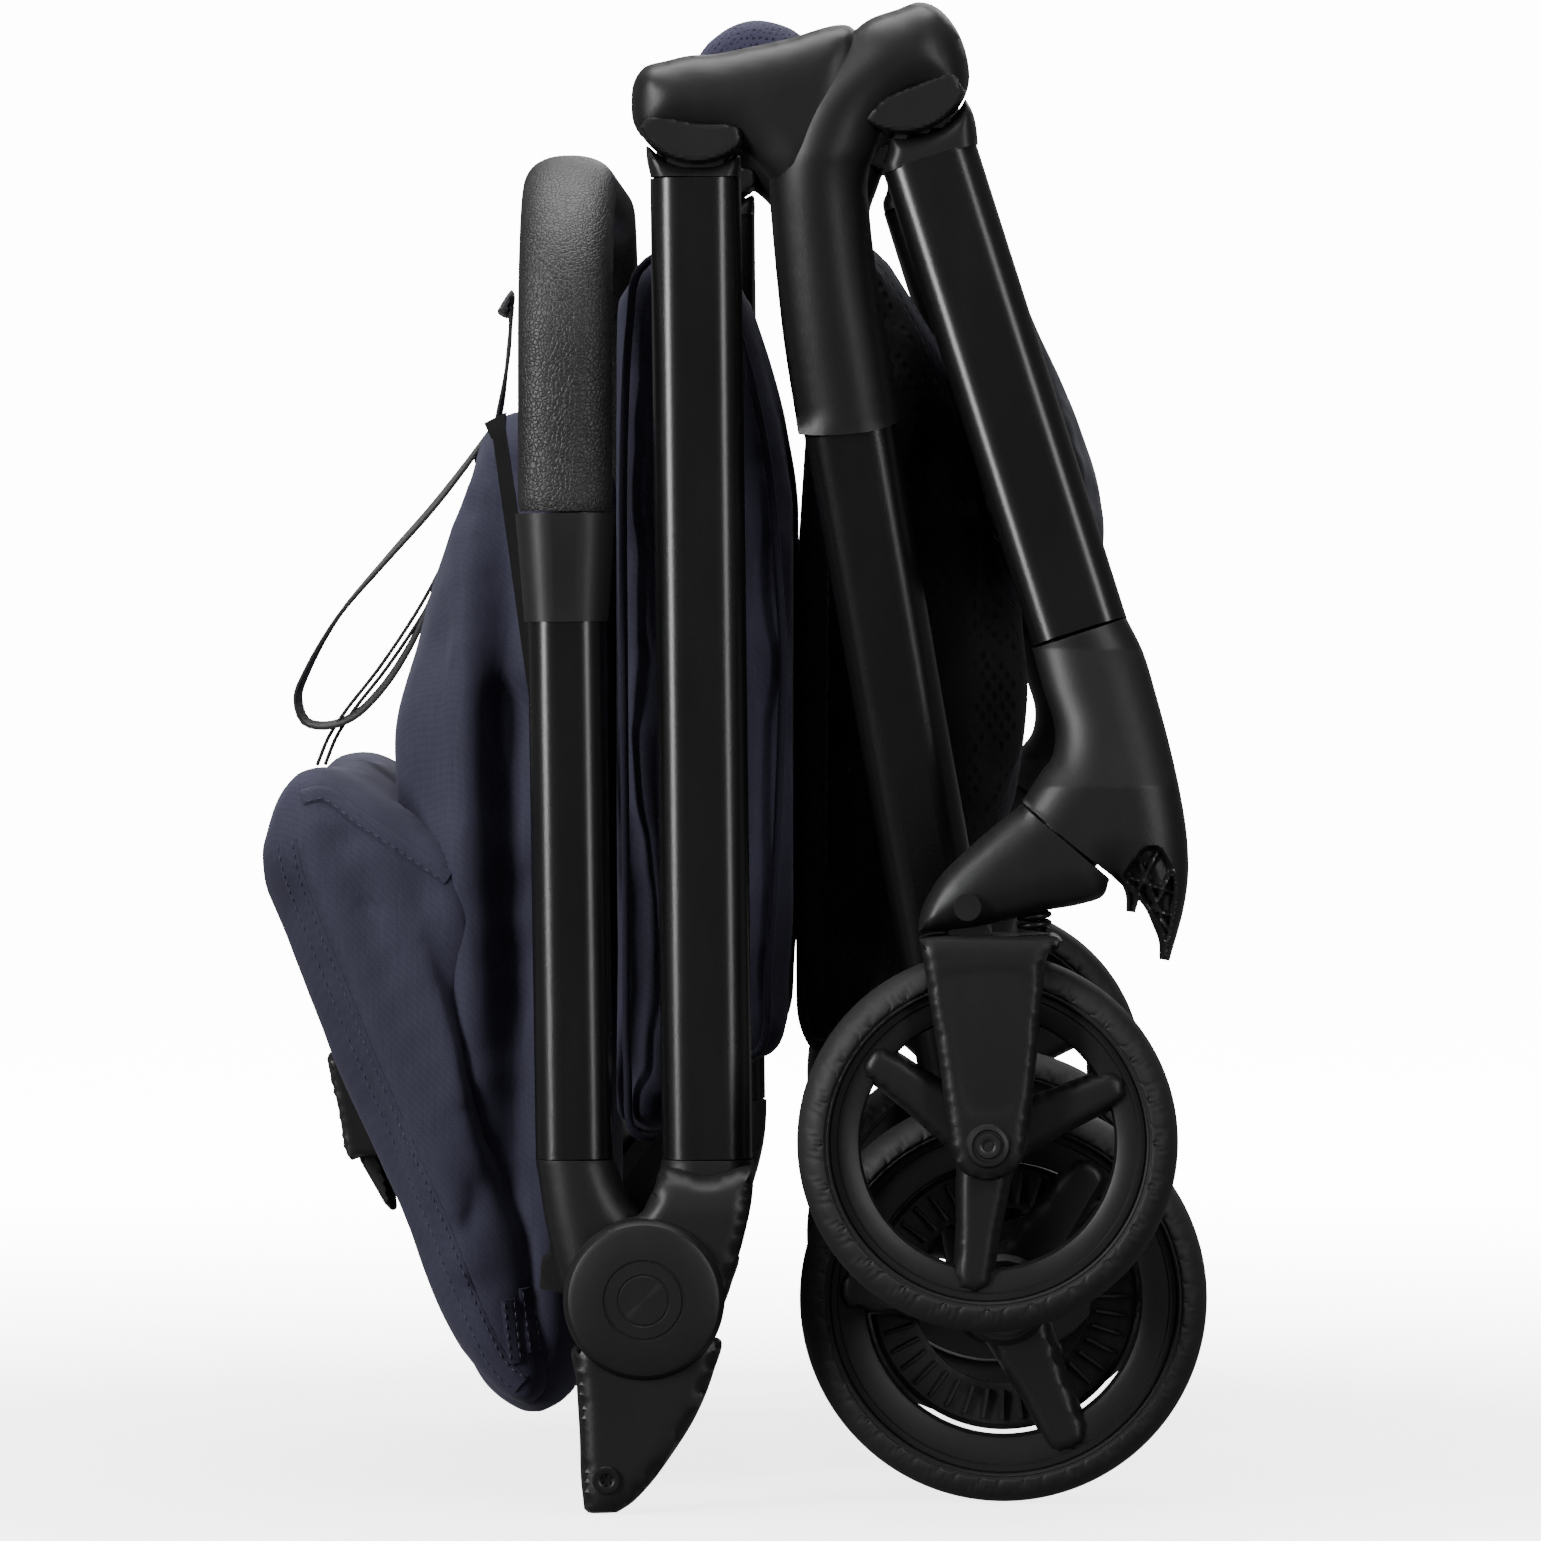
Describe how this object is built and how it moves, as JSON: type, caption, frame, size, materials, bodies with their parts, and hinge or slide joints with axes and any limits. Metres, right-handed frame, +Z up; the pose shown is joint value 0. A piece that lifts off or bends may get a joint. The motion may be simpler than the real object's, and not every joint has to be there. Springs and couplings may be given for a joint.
{
  "type": "folding baby stroller",
  "caption": "Compact folding baby stroller, stored folded and standing: folding frame, swing-over handle, canopy, seat, basket, sprung caster wheels.",
  "frame": {"origin": "on the floor, under the middle of the folded stroller's box", "axes": "+X towards the front of the stroller, +Y to the child's left, +Z up as it stands folded"},
  "size_m": [0.3552, 0.492, 0.5569],
  "materials": {
    "moulded_plastic": "fine matte grain",
    "satin_plastic": "satin",
    "black_tube": "matte anodised",
    "black_steel": "black oxide, satin",
    "tyre": "matte rubber",
    "grip_leather": "fine pebbled grain",
    "navy_fabric": "woven twill",
    "black_mesh": "knitted mesh",
    "webbing": "ribbed webbing"
  },
  "bodies": {
    "rear_frame": {"side_joint_right": "moulded_plastic", "side_joint_left": "moulded_plastic", "rear_legs": "black_tube", "rear_leg_feet": "moulded_plastic", "rear_axle": "black_steel", "rear_axle_beam": "black_tube", "frame_pivot_pins": "black_steel", "seat_cross_tube": "black_tube", "seat_cushion": "navy_fabric", "basket": "black_mesh", "rear_axle_washers": "black_steel"},
    "brake": {"brake_pedal": "moulded_plastic"},
    "rear_wheel_right": {"rear_tyre_right": "tyre", "rear_rim_right": "moulded_plastic"},
    "rear_wheel_left": {"rear_tyre_left": "tyre", "rear_rim_left": "moulded_plastic"},
    "push_frame": {"push_bars": "black_tube", "push_bar_caps": "moulded_plastic", "hinge_base_right": "moulded_plastic", "hinge_base_left": "moulded_plastic", "hinge_covers": "satin_plastic", "stand_feet": "moulded_plastic", "foot_screws": "black_steel", "hinge_pins": "black_steel", "back_cross_tube": "black_tube", "canopy_brackets": "moulded_plastic", "canopy_pins": "black_steel", "backrest": "navy_fabric"},
    "handle": {"handle_tubes": "black_tube", "handle_collars": "moulded_plastic", "handle_grip_sides": "grip_leather", "handle_grip_top": "grip_leather", "hinge_arms": "moulded_plastic"},
    "fold_trigger": {"fold_trigger": "moulded_plastic"},
    "front_frame": {"front_legs": "black_tube", "front_leg_caps": "moulded_plastic", "foot_casting_right": "moulded_plastic", "foot_casting_left": "moulded_plastic", "front_cross_tube": "black_tube", "leg_rest": "black_mesh"},
    "caster_right": {"swivel_head_right": "moulded_plastic", "suspension_pin_right": "black_steel", "suspension_spring_right": "black_steel"},
    "caster_left": {"swivel_head_left": "moulded_plastic", "suspension_pin_left": "black_steel", "suspension_spring_left": "black_steel"},
    "fork_right": {"fork_right": "moulded_plastic", "front_axle_right": "black_steel"},
    "fork_left": {"fork_left": "moulded_plastic", "front_axle_left": "black_steel"},
    "front_wheel_right": {"front_tyre_right": "tyre", "front_rim_right": "moulded_plastic"},
    "front_wheel_left": {"front_tyre_left": "tyre", "front_rim_left": "moulded_plastic"},
    "canopy": {"canopy": "navy_fabric", "canopy_bow_arms": "moulded_plastic", "carry_strap": "webbing", "strap_adjuster": "moulded_plastic", "harness_buckle": "moulded_plastic"},
    "buckle_button": {"buckle_button": "satin_plastic"}
  },
  "joints": [
    {"name": "fold", "type": "hinge", "parent": "rear_frame", "child": "push_frame", "pos_m": [-0.012, 0, 0.5208], "axis": [0, 1, 0], "range_deg": [0, 84]},
    {"name": "front_fold", "type": "hinge", "parent": "rear_frame", "child": "front_frame", "pos_m": [0.064, 0, 0.5326], "axis": [0, -1, 0], "range_deg": [0, 83]},
    {"name": "handle_fold", "type": "hinge", "parent": "push_frame", "child": "handle", "pos_m": [-0.0312, 0, 0.0792], "axis": [0, -1, 0], "range_deg": [0, 180.5]},
    {"name": "canopy_swing", "type": "hinge", "parent": "push_frame", "child": "canopy", "pos_m": [-0.0629, 0, 0.0865], "axis": [0, -1, 0], "range_deg": [0, 60]},
    {"name": "trigger_press", "type": "slide", "parent": "handle", "child": "fold_trigger", "axis": [0, 0, 1], "range_m": [0, 0.004], "stiffness_N_per_m": 400, "springref_m": -0.002},
    {"name": "buckle_press", "type": "slide", "parent": "canopy", "child": "buckle_button", "axis": [1, 0, 0], "range_m": [0, 0.0015], "stiffness_N_per_m": 300, "springref_m": -0.001},
    {"name": "brake_press", "type": "hinge", "parent": "rear_frame", "child": "brake", "pos_m": [0.1016, 0, 0.076], "axis": [0, -1, 0], "range_deg": [0, 18]},
    {"name": "rear_spin_right", "type": "hinge", "parent": "rear_frame", "child": "rear_wheel_right", "pos_m": [0.1016, -0.158, 0.076], "axis": [0, 1, 0], "continuous": true},
    {"name": "rear_spin_left", "type": "hinge", "parent": "rear_frame", "child": "rear_wheel_left", "pos_m": [0.1016, 0.158, 0.076], "axis": [0, 1, 0], "continuous": true},
    {"name": "caster_swivel_right", "type": "hinge", "parent": "front_frame", "child": "caster_right", "pos_m": [0.123, -0.222, 0.2489], "axis": [0.6293, 0, 0.7771], "range_deg": [-90, 15]},
    {"name": "caster_swivel_left", "type": "hinge", "parent": "front_frame", "child": "caster_left", "pos_m": [0.123, 0.222, 0.2489], "axis": [0.6293, 0, 0.7771], "range_deg": [-15, 90]},
    {"name": "suspension_right", "type": "hinge", "parent": "caster_right", "child": "fork_right", "pos_m": [0.0873, -0.222, 0.225], "axis": [0, -1, 0], "range_deg": [0, 4], "stiffness_Nm_per_rad": 25, "springref_deg": -2.86, "deforming": ["suspension_spring_right"]},
    {"name": "suspension_left", "type": "hinge", "parent": "caster_left", "child": "fork_left", "pos_m": [0.0873, 0.222, 0.225], "axis": [0, -1, 0], "range_deg": [0, 4], "stiffness_Nm_per_rad": 25, "springref_deg": -2.86, "deforming": ["suspension_spring_left"]},
    {"name": "front_spin_right", "type": "hinge", "parent": "fork_right", "child": "front_wheel_right", "pos_m": [0.0949, -0.222, 0.1384], "axis": [0, 1, 0], "continuous": true},
    {"name": "front_spin_left", "type": "hinge", "parent": "fork_left", "child": "front_wheel_left", "pos_m": [0.0949, 0.222, 0.1384], "axis": [0, 1, 0], "continuous": true}
  ],
  "couplings": [
    {"joint": "front_fold", "follows": "fold", "ratio": 0.98571},
    {"joint": "handle_fold", "follows": "fold", "ratio": 2.1429}
  ]
}
